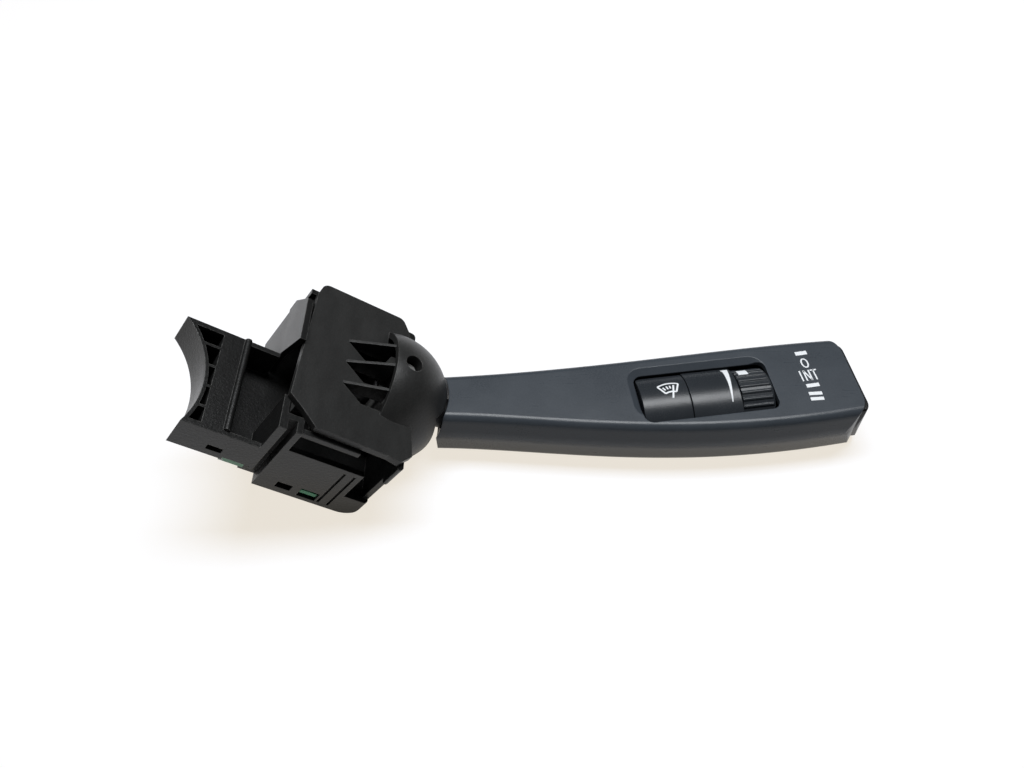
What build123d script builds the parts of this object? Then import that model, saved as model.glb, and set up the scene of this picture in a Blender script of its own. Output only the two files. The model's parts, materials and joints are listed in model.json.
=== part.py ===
"""Wiper combination stalk switch: a column bracket and switch housing carrying a curved lever.

Both groups share one origin, the centre of the gimbal.  The housing is modelled square to its own
column axis (+Z) and is placed canted; the lever is modelled lying level, as the switch lies when it
stands on a table on its foot and its lever.
"""
from build123d import *
from math import cos, radians, sin, sqrt, tan
import os

os.makedirs("parts", exist_ok=True)

# ---------------------------------------------------------------- driving dimensions (mm, degrees)
CANT = 35.3             # tilt of the housing's column axis when the switch lies on a table
WALL = 1.6              # moulded wall
FREE_GAP = 0.35         # clearance between pieces that move past each other
PIN_GAP = 0.04          # radial running clearance of a pin

# switch box
BOX_LEFT = -29.5        # outer faces
BOX_RIGHT = 4.5
BOX_FRONT = -27.3
BOX_BACK = 19.6
BOX_BOTTOM = -19.1
BOX_TOP = 8.4
BOX_CORNER = 1.2
FLOOR_Z = -12.9         # underside of the floor that carries the mechanism
FLOOR = 1.3
PLATE = 2.0             # cover plate
PLATE_CORNER_R = 2.4
PLATE_CORNERS = [       # anticlockwise from the back left corner, with the stepped left side
    (-25.2, 21.4), (-26.6, 17.2), (-28.9, -18.0), (-24.7, -21.6), (-21.2, -25.2),
    (-0.9, -25.7), (2.4, -26.4), (5.6, -23.4), (1.4, 17.4), (-0.8, 21.4),
]
FRONT_LIP_Z = 0.4       # top of the low front wall
FOOT_R = 5.5            # rounded lower edge that the housing stands on
CHANNEL_LEFT = -27.4    # upright channel between the bracket and the front face
CHANNEL_W = 2.4
CHANNEL_DEEP = 3.2
SIDE_OPEN_FRONT = -17.5  # the left wall is open between these
SIDE_OPEN_BACK = 3.5
WING_TOP = 11.4
WING_CHAMFER_Z = 1.8
WING_CHAMFER_Y = 12.8

# column bracket
BRACKET_TOP = -2.6
BRACKET_BOTTOM = -12.9
BRACKET_BACK = 3.3
BRACKET_LEFT = -60.0    # the saddle arc trims the block short of this line
SADDLE_X = -72.7
SADDLE_Y = -15.5
SADDLE_R = 26.0
ARC_WALL = 0.9
BRACKET_WALL = 1.4
STRIP_LEFT = -44.8
STRIP_RIGHT = -38.4
RIDGE_R = 0.9
RIB_COUNT = 4
RIB_PITCH = 6.2
RIB_WALL = 0.7
FIXING_R = 1.6          # blind hole for an M4 thread-forming screw
FIXING_DEEP = 8.0
FIXING_PITCH = 20.0

# windows in the front faces: left, right, bottom, top
BRACKET_SLOT = (-40.6, -36.6, -10.6, -8.6)
BRACKET_WINDOW = (-35.6, -28.6, -13.0, -12.0)
FACE_SLOT = (-19.7, -15.5, -16.8, -14.2)
FACE_WINDOW = (-13.2, -8.0, -17.6, -13.8)
GROOVE_XS = (-7.4, -4.6)
GROOVE = 0.7

# bell round the gimbal
BELL_R = 18.3
BELL_FLOOR_Z = -7.2     # flat underside of the lower bell
BELL_SPLIT_Z = -2.0     # the cover meets the base here beyond the box
CUP_R = 11.5            # round cup under the gimbal
CUP_BOTTOM = -10.9
BELL_TOP_FLAT = 0.1
SPLIT_GAP = 0.25        # dark joint line between the dome and the lower bell
DOME_LEFT = -4.7        # the dome is open to the left of here, where the fins carry it
FIN_COUNT = 3
FIN_PITCH = 7.0
FIN_FIRST_Y = -8.9
FIN_WALL = 0.8
FIN_START_X = -16.0
FIN_POCKET = 4.4
FIN_POCKET_X = -10.4

# gimbal, stem and switch parts
STEM_RISE = 12.0        # the stem leaves the housing at this angle above its plane
STEM_R = 4.2
TAIL_R = 2.8
TAIL_LEN = 11.5
STEM_LEN = 23.0
TANG_W = 9.0
TANG_H = 4.4
TANG_END = 50.0
GIMBAL_X = 9.6
GIMBAL_Y = 17.0
GIMBAL_Z = 16.0
GIMBAL_BAR = 1.6
SWIVEL_R = 2.4
TILT_R = 1.5
COLLAR_WALL = 1.0
COLLAR_HALF_W = 11.6
COLLAR_HALF_H = 7.2
SWEEP_UP = 7.0          # single sweep
SWEEP_DOWN = 21.0       # three running positions
PULL = 8.0              # washer pull
STEM_SPREAD = 17.0      # half angle that the stem fills in the bell's wall
DETENT_STEP = 7.0
PLUNGER_R = 1.6
PLUNGER_TIP_R = 1.2
PLUNGER_OUT = 3.4
PLUNGER_TRAVEL = 0.9
CAM_GAP = 0.15
CAM_BACK = -21.0
CAM_LEG = -16.0
CAM_TOP = 0.4
CAM_LOW = -7.0
SCALLOP_DEEP = 0.4
SLIDER_ARM = 11.0       # radius at which the gimbal drives the contact slider
DRIVE_R = 1.2
ARM_WALL = 1.0
SLIDER_W = 5.0
SLIDER_L = 10.0
SLIDER_H = 2.2
RAIL_W = 1.1

# circuit board and connector
BOARD = 1.6
PIN_COUNT = 8
PIN_PITCH = 2.5
PIN_SIDE = 0.7
PIN_LEN = 4.0
SOCKET_X = -15.0
SOCKET_Y = -2.0
SOCKET_W = 11.0
SOCKET_D = 23.0
COVER_FLOOR = 1.5
COVER_GAP = 0.1
SHROUD_WALL = 1.2
BOARD_REACH = -36.0     # the board runs out under the bracket as far as this
BOARD_EDGE = 0.7
SCREW_R = 1.25
SCREW_HEAD_R = 2.4
SCREW_HEAD = 1.2
SCREW_LEN = 4.6
SCREW_INSET = 4.0       # of the cover screws from the box's inner walls
SCREW_FRONT = 7.0
LOCK_LEFT = -12.9       # green slide that locks the connector's contacts
LOCK_RIGHT = -8.3
LOCK_LOW = -16.4
LOCK = 1.4
LOCK_SET_BACK = 0.4     # its end stands this far inside the front face

# lever, lying level with its top face up: distance along, centre line, half width, heading
LEVER_TOP = 0.4
SHELL_WALL = 1.7
PARTING = -7.2
END_X = 132.6
STATIONS = [
    (15.0, 0.3, 7.5, 0.4),
    (48.0, 0.8, 10.0, 1.8),
    (80.0, 2.3, 12.9, 4.6),
    (108.0, 5.2, 14.1, 7.2),
    (END_X, 8.6, 13.5, 7.6),
]
SIDE_BULGE = 1.3
SIDE_TUCK = 0.5
BULGE_Z = -6.6
TOP_EDGE_R = 2.4
BULGE_R = 9.0
UNDER_R = 3.0
UNDER_CUT = 2.6         # bevel along the hollow's lower corners
TIP_CORNER_R = 7.0

# controls in the lever
BARREL_X = 71.9
BARREL_Y = -0.4
BARREL_HEADING = 8.0
BARREL_Z = -8.0
BUTTON_LEN = 13.4
BRIDGE_LEN = 13.9
WHEEL_LEN = 9.3
PAD_HALF = 8.2          # half width of the button and the bridge
PAD_TOP = 9.3           # height of their crown above the barrel's line
PAD_SAG = 3.0           # fall of the crown at its sides
PAD_SIDE = 3.6
PAD_WALL = 1.5
BUTTON_CORNER = 2.0
PAD_GAP = 0.3
POST_HALF = 2.4
SWITCH_HALF = 3.0
BUTTON_TRAVEL = 1.0
WHEEL_R = 9.6
WHEEL_WALL = 1.7
WHEEL_RIBS = 18
RIB_R = 0.6
RIB_PROUD = 0.32
WHEEL_END_CUT = 0.9     # bevel round its right end
WHEEL_TURN = 50.0
WHEEL_REAR = 126.0      # the ribbed rim ends here behind, from the top
WHEEL_FRONT = 76.0      # and here in front
AXLE_R = 1.5
HUB_R = 3.2
WHEEL_WEB = 1.5
AXLE_WEB = 1.5
POCKET_GAP = 0.5
POCKET_HALF = 8.7
POCKET_CORNER = 2.6
DISH = 1.3              # bevel round the left end and the back of the pocket
DISH_SLOPE = 56.0
DISH_CORNER = 4.5
LEVER_BOARD = 1.0
LEVER_BOARD_LOW = -3.4  # its underside, from the barrel's line
BOARD_POST_R = 1.2
SWITCH_TOP = 0.2
ROOT_GAP = 0.45         # clearance of the lever's root round the bell
RIB_XS = (25.0, 34.0, 43.0)  # ribs in the lever that grip the tang
GRIP_RIB = 1.2
GRIP_HALF = 5.5
ROCKER_PROUD = 1.3
ROCKER_CORNER_R = 4.0
ROCKER_DEEP = 3.0
ROCKER_RIM = 1.5
ROCKER_WALL = 1.2
ROCKER_GAP = 0.35
ROCKER_TILT = 3.5
ROCKER_PIN_R = 1.0
ROCKER_PIN_BACK = 6.0   # the pin stands this far in from the tip
LUG_LOW = -11.8
LUG_HIGH = -3.5
LUG_R = 2.2

# ---------------------------------------------------------------- worked-out values
foot_x = BOX_RIGHT - FOOT_R
foot_z = BOX_BOTTOM + FOOT_R
REST_DROP = FOOT_R + sin(radians(CANT)) * foot_x - cos(radians(CANT)) * foot_z
LEVER_BOTTOM = -REST_DROP               # the lever and the foot stand on one plane
PLATE_TOP = BOX_TOP + PLATE
FLOOR_TOP = FLOOR_Z + FLOOR
IN_LEFT = BOX_LEFT + WALL
IN_RIGHT = BOX_RIGHT - WALL
IN_FRONT = BOX_FRONT + WALL
IN_BACK = BOX_BACK - WALL
POST_RIGHT = CHANNEL_LEFT + CHANNEL_W + WALL
POST_BACK = BOX_FRONT + CHANNEL_DEEP + WALL
BRACKET_MID_Y = (BOX_FRONT + BRACKET_BACK) / 2
BELL_IN = BELL_R - WALL
CUP_FLOOR = CUP_BOTTOM + WALL
COLLAR_R = BELL_IN - FREE_GAP
COLLAR_IN = COLLAR_R - COLLAR_WALL
BOARD_BOTTOM = FLOOR_Z - BOARD
STRIP_X = (STRIP_LEFT + STRIP_RIGHT) / 2
PLATE_EYE_R = sqrt(BELL_IN**2 - BOX_TOP**2)
GIMBAL_HALF = GIMBAL_Z / 2
GIMBAL_LOW = -GIMBAL_HALF
TIP_REACH = (TAIL_LEN + PLUNGER_OUT) * cos(radians(STEM_RISE))
STEM_DROP = CANT - STEM_RISE            # fall of the stem below level, in the lever's frame
WINDOW_FROM = -SWEEP_DOWN - STEM_SPREAD
WINDOW_TO = SWEEP_UP + STEM_SPREAD
WINDOW_TOP = STEM_RISE + PULL + STEM_SPREAD
WINDOW_IN = BELL_R / 2
tang_x = STEM_LEN * cos(radians(STEM_DROP))
tang_z = -STEM_LEN * sin(radians(STEM_DROP))
tang_low = tang_z - TANG_H / 2
tang_high = tang_z + TANG_H / 2
ROOT_R = BELL_R + ROOT_GAP
LID_UNDER = LEVER_TOP - SHELL_WALL
WELL_FLOOR = LEVER_BOTTOM + SHELL_WALL
bridge_at = BUTTON_LEN + PAD_GAP
wheel_at = bridge_at + BRIDGE_LEN + PAD_GAP
wheel_end = wheel_at + WHEEL_LEN
pocket_len = wheel_end + 2 * POCKET_GAP
dish_out = DISH * tan(radians(DISH_SLOPE))
axle_from = wheel_at - PAD_GAP - AXLE_WEB
axle_to = wheel_end + POCKET_GAP + AXLE_WEB + AXLE_WEB / 2
tip_y, tip_half, tip_heading = STATIONS[-1][1:]
rocker_swing = tip_half * sin(radians(ROCKER_TILT))
lever_heading = radians(BARREL_HEADING)
control_plane = Plane((BARREL_X, BARREL_Y, BARREL_Z), x_dir=(cos(lever_heading), sin(lever_heading), 0),
                      z_dir=(0, 0, 1))
tip_plane = Plane((END_X, tip_y, 0), z_dir=(0, 0, 1),
                  x_dir=(cos(radians(tip_heading)), sin(radians(tip_heading)), 0))
fin_rows = [FIN_FIRST_Y + i * FIN_PITCH for i in range(FIN_COUNT)]
cover_screw_places = [(IN_LEFT + SCREW_INSET, IN_BACK - SCREW_INSET),
                      (foot_x - SCREW_INSET, IN_BACK - SCREW_INSET),
                      (foot_x - SCREW_INSET, IN_FRONT + SCREW_FRONT)]


def frame_at(distance, axis_x, axis_y, axis_z, heading):
    """Plane across a horizontal line: its x runs towards the back of the lever and its y up."""
    turn = radians(heading)
    return Plane((axis_x + distance * cos(turn), axis_y + distance * sin(turn), axis_z),
                 x_dir=(-sin(turn), cos(turn), 0), z_dir=(cos(turn), sin(turn), 0))


def barrel_plane(distance):
    """Plane across the control barrel, this far from its left end."""
    return frame_at(distance, BARREL_X, BARREL_Y, BARREL_Z, BARREL_HEADING)


def stem_plane(distance):
    """Plane across the stem, this far from the gimbal's centre, in the lever's frame."""
    drop = radians(STEM_DROP)
    return Plane((distance * cos(drop), 0, -distance * sin(drop)), x_dir=(0, 1, 0),
                 z_dir=(cos(drop), 0, -sin(drop)))


def clock(radius, angle):
    """Point on a circle at an angle from the top, positive towards the plane's x."""
    return (radius * sin(radians(angle)), radius * cos(radians(angle)))


def ring_sector(outer, inner, start, end):
    """Outline of part of a ring between two angles from the top."""
    middle = (start + end) / 2
    ThreePointArc(clock(outer, start), clock(outer, middle), clock(outer, end))
    Line(clock(outer, end), clock(inner, end))
    ThreePointArc(clock(inner, end), clock(inner, middle), clock(inner, start))
    Line(clock(inner, start), clock(outer, start))


def crowned_pad(half, inset):
    """Outline of the button or bridge across the barrel: a crowned top, this far under the skin, with short sides."""
    side = PAD_TOP - PAD_SAG - inset
    ThreePointArc((-half, side), (0, PAD_TOP - inset), (half, side))
    Polyline((half, side), (half, side - PAD_SIDE), (-half, side - PAD_SIDE), (-half, side))


def lever_section(sketch, half, inset):
    """Outline across the lever, drawn this far inside its outer skin."""
    side = half - inset
    high = LEVER_TOP - inset
    low = LEVER_BOTTOM + inset
    Polygon((side, high), (side + SIDE_BULGE, BULGE_Z), (side - SIDE_TUCK, low), (SIDE_TUCK - side, low),
            (-side - SIDE_BULGE, BULGE_Z), (-side, high), align=None)
    fillet(sketch.vertices().group_by(Axis.Y)[-1], max(TOP_EDGE_R - inset, TOP_EDGE_R / 4))
    fillet(sketch.vertices().group_by(Axis.Y)[0], UNDER_R - inset)
    bulge = sketch.vertices().filter_by_position(Axis.Y, BULGE_Z - PIN_GAP, BULGE_Z + PIN_GAP)
    fillet(bulge, BULGE_R - inset)


def hollow_section(half):
    """Plain outline of the space inside the lever, one wall in from the skin, with bevelled lower corners."""
    side = half - SHELL_WALL
    low_side = side - SIDE_TUCK
    lean = UNDER_CUT * (SIDE_BULGE + SIDE_TUCK) / (BULGE_Z - LEVER_BOTTOM)
    right = [(side, LID_UNDER), (side + SIDE_BULGE, BULGE_Z), (low_side + lean, WELL_FLOOR + UNDER_CUT),
             (low_side - UNDER_CUT, WELL_FLOOR)]
    Polygon(*right, *[(-x, z) for x, z in reversed(right)], align=None)


def block(x0, x1, y0, y1, z0, z1, mode=Mode.ADD):
    """A box given by its faces."""
    with Locations(((x0 + x1) / 2, (y0 + y1) / 2, (z0 + z1) / 2)):
        Box(x1 - x0, y1 - y0, z1 - z0, mode=mode)


def ball_section(radius, z_low, z_high):
    """Outline of half a slice through a ball between two heights, for a revolve about the height axis."""
    r_low = sqrt(radius**2 - z_low**2)
    r_high = sqrt(radius**2 - z_high**2)
    Polyline((r_high, z_high), (0, z_high), (0, z_low), (r_low, z_low))
    RadiusArc((r_low, z_low), (r_high, z_high), -radius)


def front_window(left, right, low, high, deep):
    """Cut through a front face."""
    block(left, right, BOX_FRONT - deep, BOX_FRONT + deep, low, high, Mode.SUBTRACT)


# ---------------------------------------------------------------- base housing
with BuildPart() as base_housing:
    with BuildSketch(Plane.XY.offset(BOX_BOTTOM)):
        with Locations(((BOX_LEFT + BOX_RIGHT) / 2, (BOX_FRONT + BOX_BACK) / 2)):
            RectangleRounded(BOX_RIGHT - BOX_LEFT, BOX_BACK - BOX_FRONT, BOX_CORNER)
    extrude(amount=BOX_TOP - BOX_BOTTOM)
    with BuildSketch(Plane.XZ.offset(-BOX_BACK)) as front_view:
        with Locations(((BOX_LEFT + BOX_RIGHT) / 2, (BOX_BOTTOM + BOX_TOP) / 2)):
            Rectangle(BOX_RIGHT - BOX_LEFT, BOX_TOP - BOX_BOTTOM)
        fillet(front_view.vertices().group_by(Axis.Y)[0].sort_by(Axis.X)[-1], FOOT_R)
    extrude(amount=BOX_BACK - BOX_FRONT, mode=Mode.INTERSECT)
    # bracket block with the arc that saddles the column
    with BuildSketch(Plane.XY.offset(BRACKET_BOTTOM)):
        with Locations(((BRACKET_LEFT + CHANNEL_LEFT) / 2, BRACKET_MID_Y)):
            Rectangle(CHANNEL_LEFT - BRACKET_LEFT, BRACKET_BACK - BOX_FRONT)
        with Locations((SADDLE_X, SADDLE_Y)):
            Circle(SADDLE_R, mode=Mode.SUBTRACT)
    extrude(amount=BRACKET_TOP - BRACKET_BOTTOM)
    # lower half of the bell, cut flat underneath, over a round cup
    with BuildSketch(Plane.XZ):
        with BuildLine():
            ball_section(BELL_R, BELL_FLOOR_Z, BELL_SPLIT_Z)
        make_face()
    revolve(axis=Axis.Z)
    with BuildSketch(Plane.XY.offset(CUP_BOTTOM)):
        Circle(CUP_R)
    extrude(amount=BELL_SPLIT_Z - CUP_BOTTOM)
    # hollows above and below the floor
    block(IN_LEFT, IN_RIGHT, IN_FRONT, IN_BACK, FLOOR_TOP, BOX_TOP, Mode.SUBTRACT)
    block(IN_LEFT, foot_x, IN_FRONT, IN_BACK, BOX_BOTTOM, FLOOR_Z, Mode.SUBTRACT)
    with BuildSketch(Plane.XZ):
        with BuildLine():
            ball_section(BELL_IN, BELL_FLOOR_Z + WALL, BOX_TOP)
        make_face()
    revolve(axis=Axis.Z, mode=Mode.SUBTRACT)
    with BuildSketch(Plane.XY.offset(CUP_FLOOR)):
        Circle(CUP_R - WALL)
    extrude(amount=BELL_SPLIT_Z - CUP_FLOOR, mode=Mode.SUBTRACT)
    # post beside the channel, and the channel itself
    block(BOX_LEFT, POST_RIGHT, BOX_FRONT, POST_BACK, BOX_BOTTOM, BOX_TOP)
    block(CHANNEL_LEFT, CHANNEL_LEFT + CHANNEL_W, BOX_FRONT - WALL, BOX_FRONT + CHANNEL_DEEP,
          BOX_BOTTOM, BOX_TOP, Mode.SUBTRACT)
    block(BOX_LEFT, CHANNEL_LEFT, BOX_FRONT, BOX_FRONT + CHANNEL_DEEP, BOX_BOTTOM, BRACKET_BOTTOM,
          Mode.SUBTRACT)
    # open front above the low wall, dropping lower at its right end, with a tie bar under the plate
    block(POST_RIGHT, IN_RIGHT, BOX_FRONT, IN_FRONT, FRONT_LIP_Z, BOX_TOP, Mode.SUBTRACT)
    block(GROOVE_XS[1] + 3 * GROOVE, BOX_RIGHT, BOX_FRONT, IN_FRONT, CUP_BOTTOM, FRONT_LIP_Z, Mode.SUBTRACT)
    block(POST_RIGHT, GROOVE_XS[0], IN_FRONT - GROOVE, IN_FRONT + GROOVE, BOX_TOP - WALL - GROOVE,
          BOX_TOP - GROOVE)
    # open left side, and the wing wall behind it
    block(BOX_LEFT, IN_LEFT, SIDE_OPEN_FRONT, SIDE_OPEN_BACK, FLOOR_TOP, BOX_TOP, Mode.SUBTRACT)
    with BuildSketch(Plane.YZ.offset(BOX_LEFT)):
        with BuildLine():
            Polyline((SIDE_OPEN_BACK, BRACKET_TOP), (BOX_BACK, BRACKET_TOP), (BOX_BACK, WING_CHAMFER_Z),
                     (WING_CHAMFER_Y, WING_TOP), (SIDE_OPEN_BACK - 3 * WALL, WING_TOP), close=True)
        make_face()
    extrude(amount=WALL)
    with BuildSketch(Plane.YZ.offset(BOX_LEFT)):
        with BuildLine():
            Polyline((BOX_BACK, WING_CHAMFER_Z), (BOX_BACK + WALL, WING_CHAMFER_Z), (BOX_BACK + WALL, WING_TOP),
                     (WING_CHAMFER_Y, WING_TOP), close=True)
        make_face()
    extrude(amount=WALL, mode=Mode.SUBTRACT)
    # shallow compartments behind the arc, split by thin ribs
    with BuildSketch(Plane.XY.offset(BRACKET_TOP)):
        with Locations(((BRACKET_LEFT + STRIP_LEFT) / 2, BRACKET_MID_Y)):
            Rectangle(STRIP_LEFT - BRACKET_LEFT, BRACKET_BACK - BOX_FRONT - 2 * BRACKET_WALL)
        with Locations((SADDLE_X, SADDLE_Y)):
            Circle(SADDLE_R + ARC_WALL, mode=Mode.SUBTRACT)
        with Locations((STRIP_LEFT, BRACKET_MID_Y)):
            with GridLocations(1, RIB_PITCH, 1, RIB_COUNT):
                Rectangle(STRIP_LEFT - BRACKET_LEFT, RIB_WALL, mode=Mode.SUBTRACT)
    extrude(amount=BRACKET_BOTTOM + WALL - BRACKET_TOP, mode=Mode.SUBTRACT)
    # deep hollow between the strip and the box
    block(STRIP_RIGHT + RIDGE_R, BOX_LEFT, BOX_FRONT + BRACKET_WALL, BRACKET_BACK - BRACKET_WALL,
          FLOOR_TOP, BRACKET_TOP, Mode.SUBTRACT)
    # round ridge along the strip
    with BuildSketch(Plane.XZ.offset(-BRACKET_BACK)):
        with Locations((STRIP_RIGHT, BRACKET_TOP)):
            Circle(RIDGE_R)
    extrude(amount=BRACKET_BACK - BOX_FRONT - BRACKET_WALL)
    # screw holes from below
    with BuildSketch(Plane.XY.offset(BRACKET_BOTTOM)):
        with Locations((STRIP_X, BRACKET_MID_Y)):
            with GridLocations(1, FIXING_PITCH, 1, 2):
                Circle(FIXING_R)
    extrude(amount=FIXING_DEEP, mode=Mode.SUBTRACT)
    # windows and grooves in the front faces
    for opening in (BRACKET_SLOT, BRACKET_WINDOW):
        front_window(*opening, BRACKET_WALL)
    for opening in (FACE_SLOT, FACE_WINDOW):
        front_window(*opening, WALL)
    for x in GROOVE_XS:
        front_window(x, x + GROOVE, BOX_BOTTOM + WALL, FRONT_LIP_Z - WALL, GROOVE)
    # way through the left wall for the board
    block(BOX_LEFT, IN_LEFT, POST_BACK, BRACKET_BACK, BOARD_BOTTOM, FLOOR_Z, Mode.SUBTRACT)
    # seat of the lower swivel pin, rails and brush slot of the contact slider
    with BuildSketch(Plane.XY.offset(FLOOR_TOP)):
        Circle(SWIVEL_R + WALL)
    extrude(amount=GIMBAL_LOW - FREE_GAP - FLOOR_TOP)
    with BuildSketch(Plane.XY.offset(FLOOR_Z)):
        Circle(SWIVEL_R + PIN_GAP)
    extrude(amount=GIMBAL_LOW - FLOOR_Z, mode=Mode.SUBTRACT)
    for side in (-1, 1):
        rail_x = -SLIDER_ARM + side * (SLIDER_W / 2 + FREE_GAP + RAIL_W / 2)
        block(rail_x - RAIL_W / 2, rail_x + RAIL_W / 2, -SLIDER_L, SLIDER_L + SLIDER_H, FLOOR_TOP,
              FLOOR_TOP + SLIDER_H - FREE_GAP)
    block(-SLIDER_ARM - RAIL_W, -SLIDER_ARM + RAIL_W, -SLIDER_L + WALL, SLIDER_L, FLOOR_Z, FLOOR_TOP,
          Mode.SUBTRACT)
    # screw bosses for the bottom cover
    with BuildSketch(Plane.XY.offset(BOX_BOTTOM + COVER_FLOOR)):
        with Locations(*cover_screw_places):
            Circle(SCREW_R + WALL)
    extrude(amount=FLOOR_Z - BOX_BOTTOM - COVER_FLOOR)
    with BuildSketch(Plane.XY.offset(BOX_BOTTOM + COVER_FLOOR)):
        with Locations(*cover_screw_places):
            Circle(SCREW_R)
    extrude(amount=SCREW_LEN, mode=Mode.SUBTRACT)


# ---------------------------------------------------------------- top cover
with BuildPart() as top_cover:
    # upper half of the bell, open on its left; beside the box it reaches down to the base
    with BuildSketch(Plane.XZ):
        with BuildLine():
            ball_section(BELL_R, BELL_SPLIT_Z + SPLIT_GAP, BELL_R - BELL_TOP_FLAT)
        make_face()
    revolve(axis=Axis.Z)
    block(-BELL_R, DOME_LEFT, -BELL_R, BELL_R, BELL_SPLIT_Z, BELL_R, Mode.SUBTRACT)
    block(DOME_LEFT, BOX_RIGHT, -BELL_R, BELL_R, BELL_SPLIT_Z, BOX_TOP, Mode.SUBTRACT)
    with BuildSketch(Plane.XZ):
        with BuildLine():
            ball_section(BELL_IN, BELL_SPLIT_Z, BELL_IN - BELL_TOP_FLAT)
        make_face()
    revolve(axis=Axis.Z, mode=Mode.SUBTRACT)
    # way out for the stem, swept and tilted over its whole travel
    with BuildSketch(Plane.XY.offset(BELL_SPLIT_Z)):
        with BuildLine():
            far = 2 * BELL_R
            Polyline((WINDOW_IN, WINDOW_IN * tan(radians(WINDOW_FROM))), (far, far * tan(radians(WINDOW_FROM))),
                     (far, far * tan(radians(WINDOW_TO))), (WINDOW_IN, WINDOW_IN * tan(radians(WINDOW_TO))),
                     close=True)
        make_face()
    extrude(amount=BELL_R * sin(radians(WINDOW_TOP)) - BELL_SPLIT_Z, mode=Mode.SUBTRACT)
    # plate with an eye over the gimbal
    with BuildSketch(Plane.XY.offset(BOX_TOP)) as plate_sketch:
        with BuildLine():
            Polyline(*PLATE_CORNERS, close=True)
        make_face()
        fillet(plate_sketch.vertices().group_by(Axis.Y)[-1], PLATE_CORNER_R)
        Circle(PLATE_EYE_R, mode=Mode.SUBTRACT)
        with Locations(((DOME_LEFT - PLATE_EYE_R) / 2, 0)):
            Rectangle(DOME_LEFT + PLATE_EYE_R, 2 * PLATE_EYE_R)
        # slanting pockets in front of the fins
        for fin_y in fin_rows:
            with BuildLine():
                Polyline((FIN_START_X, fin_y), (DOME_LEFT, fin_y), (DOME_LEFT, fin_y - FIN_POCKET),
                         (FIN_POCKET_X, fin_y - FIN_POCKET), close=True)
            make_face(mode=Mode.SUBTRACT)
    extrude(amount=PLATE)
    # fins rising from the plate to the open side of the dome
    for fin_y in fin_rows:
        fin_top = sqrt(BELL_R**2 - DOME_LEFT**2 - fin_y**2) - FIN_WALL
        with BuildSketch(Plane.XZ.offset(-fin_y)):
            with BuildLine():
                Polyline((FIN_START_X, PLATE_TOP), (DOME_LEFT + FIN_WALL, fin_top),
                         (DOME_LEFT + FIN_WALL, BOX_TOP), (FIN_START_X, BOX_TOP), close=True)
            make_face()
        extrude(amount=-FIN_WALL)
    # bush boss of the upper swivel pin
    with BuildSketch(Plane.XY.offset(GIMBAL_HALF + FREE_GAP)):
        Circle(SWIVEL_R + WALL)
    extrude(amount=BELL_IN - GIMBAL_HALF)
    with BuildSketch(Plane.XY.offset(GIMBAL_HALF)):
        Circle(SWIVEL_R + PIN_GAP)
    extrude(amount=BELL_R, mode=Mode.SUBTRACT)

# ---------------------------------------------------------------- other pieces fixed to the housing
with BuildPart() as bottom_cover:
    block(IN_LEFT + COVER_GAP, foot_x - COVER_GAP, IN_FRONT + COVER_GAP, IN_BACK - COVER_GAP, BOX_BOTTOM,
          BOX_BOTTOM + COVER_FLOOR)
    block(BOX_LEFT, POST_RIGHT + COVER_GAP, BOX_FRONT, POST_BACK + COVER_GAP, BOX_BOTTOM,
          BOX_BOTTOM + COVER_FLOOR, Mode.SUBTRACT)
    with BuildSketch(Plane.XY.offset(BOX_BOTTOM)):
        with Locations((SOCKET_X, SOCKET_Y)):
            Rectangle(SOCKET_W + 2 * SHROUD_WALL, SOCKET_D + 2 * SHROUD_WALL)
    extrude(amount=BOARD_BOTTOM - COVER_GAP - BOX_BOTTOM)
    with BuildSketch(Plane.XY.offset(BOX_BOTTOM)):
        with Locations((SOCKET_X, SOCKET_Y)):
            Rectangle(SOCKET_W, SOCKET_D)
        with Locations(*cover_screw_places):
            Circle(SCREW_R + COVER_GAP)
    extrude(amount=BOARD_BOTTOM - BOX_BOTTOM, mode=Mode.SUBTRACT)

with BuildPart() as circuit_board:
    with BuildSketch(Plane.XY.offset(BOARD_BOTTOM)):
        with BuildLine():
            Polyline((POST_RIGHT + COVER_GAP, IN_FRONT + COVER_GAP), (foot_x - COVER_GAP, IN_FRONT + COVER_GAP),
                     (foot_x - COVER_GAP, IN_BACK - COVER_GAP), (IN_LEFT + COVER_GAP, IN_BACK - COVER_GAP),
                     (IN_LEFT + COVER_GAP, BRACKET_BACK - BOARD_EDGE), (BOARD_REACH, BRACKET_BACK - BOARD_EDGE),
                     (BOARD_REACH, BOX_FRONT + BOARD_EDGE), (BOX_LEFT - COVER_GAP, BOX_FRONT + BOARD_EDGE),
                     (BOX_LEFT - COVER_GAP, POST_BACK + COVER_GAP), (POST_RIGHT + COVER_GAP, POST_BACK + COVER_GAP),
                     close=True)
        make_face()
        with Locations(*cover_screw_places):
            Circle(SCREW_R + WALL + COVER_GAP, mode=Mode.SUBTRACT)
        Circle(SWIVEL_R + COVER_GAP, mode=Mode.SUBTRACT)
    extrude(amount=BOARD)

with BuildPart() as connector_pins:
    with BuildSketch(Plane.XY.offset(BOARD_BOTTOM)):
        with Locations((SOCKET_X - SOCKET_W / 4, SOCKET_Y)):
            with GridLocations(1, PIN_PITCH, 1, PIN_COUNT):
                Rectangle(PIN_SIDE, PIN_SIDE)
    extrude(amount=-PIN_LEN)

with BuildPart() as cover_screws:
    with BuildSketch(Plane.XY.offset(BOX_BOTTOM)):
        with Locations(*cover_screw_places):
            Circle(SCREW_R)
    extrude(amount=SCREW_LEN)
    with BuildSketch(Plane.XY.offset(BOX_BOTTOM)):
        with Locations(*cover_screw_places):
            Circle(SCREW_HEAD_R)
    extrude(amount=-SCREW_HEAD)

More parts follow.
